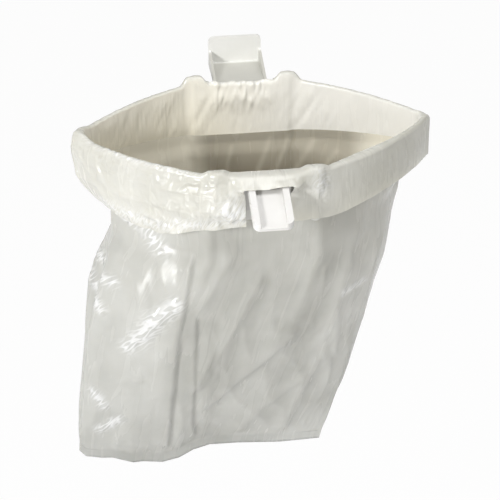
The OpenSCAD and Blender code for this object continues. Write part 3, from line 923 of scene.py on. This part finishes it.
def moulded_grain():
    """Fine moulded texture with a faint cloudy tone, and painted shade on what stands out from the wall, for
    the rigid plastics.
    """
    tree, given, out = shader_group(
        "moulded_grain",
        {"Tone": (0.8, 0.8, 0.78, 1), "Shade": (0.7, 0.7, 0.67, 1), "Gloss": 0.4, "Grain": 2200.0, "Shelf Shade": 0.0},
        ["Color", "Roughness", "Height"])
    place = shader_node(tree, "ShaderNodeTexCoord").outputs["Object"]
    cloud = shader_node(tree, "ShaderNodeTexNoise", place, Scale=45.0, Detail=4.0).outputs["Fac"]
    grain = shader_node(tree, "ShaderNodeTexNoise", place, Detail=2.0)
    speck = shader_node(tree, "ShaderNodeTexNoise", place, Scale=380.0, Detail=3.0).outputs["Fac"]
    link = tree.links.new
    link(given["Grain"], grain.inputs["Scale"])
    base = tinted(tree, graded(tree, cloud, 0.35, 0.7, 0.0, 1.0), given["Tone"], given["Shade"])
    base = tinted(tree, graded(tree, speck, 0.62, 0.75, 0.0, 0.35), base, given["Shade"])
    # painted shade: what stands out from the wall, such as the hook's shelf, is darkened as if in shadow
    off_wall = shader_node(tree, "ShaderNodeSeparateXYZ", place).outputs["Y"]
    shelf_shaded = graded(tree, off_wall, SHELF_SHADE_FROM, SHELF_SHADE_FULL, 0.0, 1.0)
    link(tinted(tree, reckoned(tree, "MULTIPLY", shelf_shaded, given["Shelf Shade"]), base, SHELF_SHADE_TONE), out["Color"])
    uneven = graded(tree, cloud, 0.3, 0.7, -0.06, 0.08)
    link(reckoned(tree, "ADD", given["Gloss"], uneven), out["Roughness"])
    link(grain.outputs["Fac"], out["Height"])
    return tree


CRUSHED_HEIGHT, CRUSHED_SLEEK = 5.0, -0.07
HAIRLINE_FINER = 2.2


def film_crinkle():
    """Stretch lines, small crinkles, and painted glints along crushed creases of thin film, along its own run.
    """
    tree, given, out = shader_group(
        "film_crinkle",
        {"Lines": 160.0, "Crinkle": 220.0, "Sharp": 1.0, "Drawn": 1.0},
        ["Height", "Milk", "Roughness", "Painted Glint"])
    link = tree.links.new
    run = shader_node(tree, "ShaderNodeUVMap", uv_map="film_run").outputs["UV"]
    crushed_glint = film_share(tree, "crushed_glint")
    # lines drawn down the film
    stretch = shader_node(tree, "ShaderNodeMapping", run, Scale=(1.0, 0.12, 1.0)).outputs["Vector"]
    lines = shader_node(tree, "ShaderNodeTexNoise", stretch, Detail=3.0, Distortion=0.4)
    link(given["Lines"], lines.inputs["Scale"])
    lines = lines.outputs["Fac"]
    # crinkles across it, in patches, and most where it is crushed
    skew = shader_node(tree, "ShaderNodeMapping", run, Rotation=(0, 0, 0.7), Scale=(1.0, 0.35, 1.0))
    crinkle = shader_node(tree, "ShaderNodeTexNoise", skew.outputs["Vector"],
                          noise_type="RIDGED_MULTIFRACTAL", Detail=4.0, Roughness=0.55)
    link(given["Crinkle"], crinkle.inputs["Scale"])
    patch = shader_node(tree, "ShaderNodeTexNoise", run, Scale=16.0, Detail=2.0).outputs["Fac"]
    patch = graded(tree, patch, 0.5, 0.66, 0.15, 1.0)
    sharp = reckoned(tree, "MULTIPLY_ADD", crushed_glint, CRUSHED_HEIGHT, patch)
    sharp = reckoned(tree, "MULTIPLY", sharp, given["Sharp"])
    drawn = reckoned(tree, "MULTIPLY", lines, given["Drawn"])
    link(reckoned(tree, "MULTIPLY_ADD", crinkle.outputs["Fac"], sharp, drawn), out["Height"])
    # cloudy milk, and a gloss that follows the lines
    cloud = shader_node(tree, "ShaderNodeTexNoise", run, Scale=22.0, Detail=3.0).outputs["Fac"]
    link(graded(tree, cloud, 0.3, 0.7, 0.0, 1.0), out["Milk"])
    rough = graded(tree, lines, 0.3, 0.7, 0.17, 0.33)
    link(reckoned(tree, "MULTIPLY_ADD", crushed_glint, CRUSHED_SLEEK, rough), out["Roughness"])
    # where it is crushed, painted glints whiten the film along its creases
    slant = shader_node(tree, "ShaderNodeMapping", run, vector_type="TEXTURE",
                        Rotation=(0, 0, -0.93), Scale=(3.2, 0.9, 1.0))
    hairline = shader_node(tree, "ShaderNodeTexNoise", slant.outputs["Vector"],
                           noise_type="RIDGED_MULTIFRACTAL", Detail=2.0, Roughness=0.5, Distortion=0.15)
    link(reckoned(tree, "MULTIPLY", given["Crinkle"], HAIRLINE_FINER), hairline.inputs["Scale"])
    white = graded(tree, hairline.outputs["Fac"], 0.0, 0.08, 0.95, 0.15)
    link(reckoned(tree, "MULTIPLY", crushed_glint, white), out["Painted Glint"])
    return tree


MOULDED_GRAIN, FILM_CRINKLE = moulded_grain(), film_crinkle()
PLASTIC_IOR, FILM_IOR = 1.49, 1.5
# the colour of the painted glints on crushed creases
PAINTED_GLINT_WHITE = (0.93, 0.93, 0.91, 1)
# the bands seen through the lining: plain, and cream with painted shade
BAND_WHITE, BAND_CREAM_IN_SHADE = (0.95, 0.94, 0.89, 1), (0.92, 0.865, 0.70, 1)
DOUBLED_TONE, DOUBLED_MOST = 1.4, 0.9
FILM_GLOW, LINING_GLOW = 0.5, 0.1


def new_finish(name, effect, values):
    """A material with one of the shared effects in it; gives its tree, its shader and the effect's outputs."""
    material = bpy.data.materials.new(name)
    material.use_nodes = True
    tree = material.node_tree
    surface = shader_node(tree, "ShaderNodeGroup", node_tree=effect)
    for key, value in values.items():
        surface.inputs[key].default_value = value
    return material, tree, tree.nodes["Principled BSDF"].inputs, surface.outputs


def raised(tree, height, strength, depth, normal):
    """Gives a shader's normal the height of an effect."""
    bump = shader_node(tree, "ShaderNodeBump", Strength=strength, Distance=depth)
    tree.links.new(height, bump.inputs["Height"])
    tree.links.new(bump.outputs["Normal"], normal)


def plastic_finish(name, tone, shade, gloss, grain=2200.0, depth=0.06 * MM, shelf_shade=0.0):
    """Rigid moulded plastic, or tape with a coarse grain."""
    material, tree, shader, surface = new_finish(name, MOULDED_GRAIN, {
        "Tone": (*tone, 1), "Shade": (*shade, 1), "Gloss": gloss, "Grain": grain, "Shelf Shade": shelf_shade})
    tree.links.new(surface["Color"], shader["Base Color"])
    tree.links.new(surface["Roughness"], shader["Roughness"])
    raised(tree, surface["Height"], 0.35, depth, shader["Normal"])
    shader["IOR"].default_value = PLASTIC_IOR
    return material


def film_finish(name, thick, thin, milk, lines, crinkle, sharp, depth, drawn=1.0, backed=False):
    """Thin milky film; where it is backed, the bands behind its lining show through, in a cream tone with
    painted shade, and on the body's inside that tone is painted light.
    """
    material, tree, shader, surface = new_finish(name, FILM_CRINKLE, {
        "Lines": lines, "Crinkle": crinkle, "Sharp": sharp, "Drawn": drawn})
    link = tree.links.new
    base = tinted(tree, surface["Milk"], (*thin, 1), (*thick, 1))
    twice = (*(min(DOUBLED_TONE * tone, DOUBLED_MOST) for tone in thick), 1)
    base = tinted(tree, film_share(tree, "doubled"), base, twice)
    # painted glints: crushed creases turn white
    base = tinted(tree, surface["Painted Glint"], base, PAINTED_GLINT_WHITE)
    # thin film lets soft light through
    shader["Subsurface Weight"].default_value = FILM_GLOW
    shader["Subsurface Radius"].default_value = (1.0, 0.95, 0.85)
    shader["Subsurface Scale"].default_value = 1.2 * MM
    if backed:
        lining = film_share(tree, "lining")
        # painted shade: the lining turns to the cream tone where the inside lies in shade
        base = tinted(tree, lining, base, tinted(tree, film_share(tree, "cream_and_shade"), BAND_WHITE, BAND_CREAM_IN_SHADE))
        link(graded(tree, lining, 0.0, 1.0, FILM_GLOW, LINING_GLOW), shader["Subsurface Weight"])
    link(base, shader["Base Color"])
    link(surface["Roughness"], shader["Roughness"])
    link(graded(tree, surface["Milk"], 0.0, 1.0, *milk), shader["Alpha"])
    raised(tree, surface["Height"], 0.6, depth, shader["Normal"])
    shader["IOR"].default_value = FILM_IOR
    return material


FINISH = {
    "band_plastic": plastic_finish("band_plastic", (0.82, 0.82, 0.79), (0.77, 0.765, 0.73), 0.42),
    # the hook's shelf stands out from the wall and gets painted shade
    "hook_plastic": plastic_finish("hook_plastic", (0.82, 0.82, 0.795), (0.76, 0.76, 0.725), 0.36, shelf_shade=0.85),
    "handle_plastic": plastic_finish("handle_plastic", (0.74, 0.735, 0.72), (0.69, 0.68, 0.66), 0.3),
    "pin_plastic": plastic_finish("pin_plastic", (0.74, 0.74, 0.71), (0.68, 0.68, 0.64), 0.4),
    "rivet_plastic": plastic_finish("rivet_plastic", (0.76, 0.76, 0.74), (0.7, 0.7, 0.67), 0.38),
    "tape": plastic_finish("tape", (0.66, 0.61, 0.48), (0.57, 0.52, 0.40), 0.75, grain=900.0, depth=0.2 * MM),
}
cuff_film = film_finish(
    "cuff_film", (0.70, 0.685, 0.61), (0.615, 0.60, 0.515), milk=(0.92, 0.98),
    lines=150.0, crinkle=190.0, sharp=2.0, depth=0.6 * MM, backed=True)
body_film = film_finish(
    "body_film", (0.51, 0.51, 0.475), (0.44, 0.44, 0.405), milk=(0.88, 0.97),
    lines=110.0, crinkle=130.0, sharp=1.2, depth=0.8 * MM, drawn=0.5)
# the bag's inside: the same film with painted shade, darker and warmer than outside
body_inside_shaded = film_finish(
    "body_inside_shaded", (0.325, 0.295, 0.235), (0.285, 0.26, 0.205), milk=(0.88, 0.97),
    lines=110.0, crinkle=100.0, sharp=0.8, depth=0.4 * MM, backed=True)

for part in frame["record"]["subparts"]:
    if part["material_slot"] in FINISH:
        slots = frame["nodes"][part["node"]].data.materials
        slots.clear()
        slots.append(FINISH[part["material_slot"]])

bag_weld = bag_weld_piece(body_film)
CUFFS = [cuff_front_left, cuff_corner_left, cuff_back_left, cuff_back_right, cuff_corner_right]
FILMS = [(cuff, cuff_film, cuff_film) for cuff in CUFFS] + [(bag_body, body_film, body_inside_shaded)]
for piece, outside, inside in FILMS:
    piece.data.materials.append(outside)
    piece.data.materials.append(inside)

# Floor, light and camera
scene = bpy.context.scene
scene.view_settings.view_transform = "Standard"
FLOOR_BELOW, FLOOR_HALF, FLOOR_WHITE = 0.35, 6, 0.95
SURROUND_LIGHT = 0.36
LIT_MIDDLE = Vector((0, -0.12, -0.10))


def seen_rays(tree, *kinds):
    """1 for the kinds of ray that see plain white."""
    path = shader_node(tree, "ShaderNodeLightPath").outputs
    seen = path[kinds[0]]
    for kind in kinds[1:]:
        seen = reckoned(tree, "MAXIMUM", seen, path[kind])
    return seen


def mixed_surface(tree, end_kind, share, shown, plain):
    """Ends a tree in a shader that turns to a plain one by a share."""
    end, mix = tree.nodes.new(end_kind), tree.nodes.new("ShaderNodeMixShader")
    for value, socket in zip((share, shown.outputs[0], plain.outputs[0]), mix.inputs):
        tree.links.new(value, socket)
    tree.links.new(mix.outputs[0], end.inputs["Surface"])


def pale_floor():
    """A pale floor that the camera sees as near white, with the object's shadow on it."""
    mesh = bpy.data.meshes.new("floor")
    z = cad_low.z - FLOOR_BELOW
    corners = [(FLOOR_HALF * x, FLOOR_HALF * y, z) for x, y in ((-1, -1), (1, -1), (1, 1), (-1, 1))]
    mesh.from_pydata(corners, [], [(0, 1, 2, 3)])
    floor = bpy.data.objects.new("floor", mesh)
    scene.collection.objects.link(floor)
    material = bpy.data.materials.new("pale_floor")
    material.use_nodes = True
    tree = material.node_tree
    tree.nodes.clear()
    matt = shader_node(tree, "ShaderNodeBsdfDiffuse", Color=(0.9, 0.9, 0.9, 1))
    white = shader_node(tree, "ShaderNodeEmission", Color=(1, 1, 1, 1), Strength=1.0)
    seen = seen_rays(tree, "Is Camera Ray", "Is Glossy Ray", "Is Transmission Ray")
    share = reckoned(tree, "MULTIPLY", seen, FLOOR_WHITE)
    mixed_surface(tree, "ShaderNodeOutputMaterial", share, matt, white)
    mesh.materials.append(material)


def white_surround():
    """Soft light from all round, seen as plain white."""
    world = bpy.data.worlds.new("surround")
    scene.world = world
    world.use_nodes = True
    tree = world.node_tree
    tree.nodes.clear()
    soft = shader_node(tree, "ShaderNodeBackground", Color=(1, 0.985, 0.96, 1), Strength=SURROUND_LIGHT)
    white = shader_node(tree, "ShaderNodeBackground", Color=(1, 1, 1, 1), Strength=1.0)
    seen = seen_rays(tree, "Is Camera Ray", "Is Transmission Ray")
    mixed_surface(tree, "ShaderNodeOutputWorld", seen, soft, white)


def soft_lamp(name, place, size, watts):
    """A round lamp turned to the middle of the object."""
    lamp = bpy.data.lights.new(name, "AREA")
    lamp.shape, lamp.size, lamp.energy = "DISK", size, watts
    holder = bpy.data.objects.new(name, lamp)
    holder.location = place
    holder.rotation_mode = "QUATERNION"
    holder.rotation_quaternion = (LIT_MIDDLE - Vector(place)).to_track_quat("-Z", "Y")
    scene.collection.objects.link(holder)


pale_floor()
white_surround()
soft_lamp("key_left", (-1.15, -1.2, 0.6), 0.35, 18.5)
soft_lamp("fill_front", (0.8, -1.5, 0.1), 1.0, 2.0)
soft_lamp("fill_right", (0.9, -0.5, 1.2), 0.8, 4.4)
soft_lamp("glint_low", (-1.1, -1.25, -0.5), 0.14, 5.0)
soft_lamp("sky", (0.0, -0.5, 1.5), 1.0, 11.5)

AZIMUTH, ELEVATION, FAR = math.radians(-7.26), math.radians(29.96), 1.7
PICTURE, FOCAL, SENSOR = 500, 2283, 36.0
LOOKED_AT, SHIFT_LEFT, SHIFT_DOWN = Vector((0, -0.11, -0.11)), 1.7 * MM, 4 * MM
back = Vector((math.sin(AZIMUTH) * math.cos(ELEVATION), -math.cos(AZIMUTH) * math.cos(ELEVATION),
               math.sin(ELEVATION)))
turn_view = (-back).to_track_quat("-Z", "Y")
right, up = turn_view @ Vector((1, 0, 0)), turn_view @ Vector((0, 1, 0))
aim = LOOKED_AT - right * SHIFT_LEFT - up * SHIFT_DOWN
eye = bpy.data.cameras.new("view")
eye.sensor_width, eye.lens = SENSOR, FOCAL / PICTURE * SENSOR
eye.clip_start, eye.clip_end = 0.05, 60
camera = bpy.data.objects.new("view", eye)
camera.location = aim + back * FAR
camera.rotation_mode = "QUATERNION"
camera.rotation_quaternion = turn_view
scene.collection.objects.link(camera)
scene.camera = camera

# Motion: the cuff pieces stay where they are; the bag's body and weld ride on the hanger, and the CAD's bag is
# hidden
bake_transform(cuff_front_left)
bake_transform(cuff_corner_left)
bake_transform(cuff_back_left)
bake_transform(cuff_back_right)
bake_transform(cuff_corner_right)
for piece in (bag_body, bag_weld):
    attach(piece, "hanger")
    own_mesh(piece)

for piece in CUFFS + [bag_body, bag_weld]:
    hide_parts("carrier_bag")
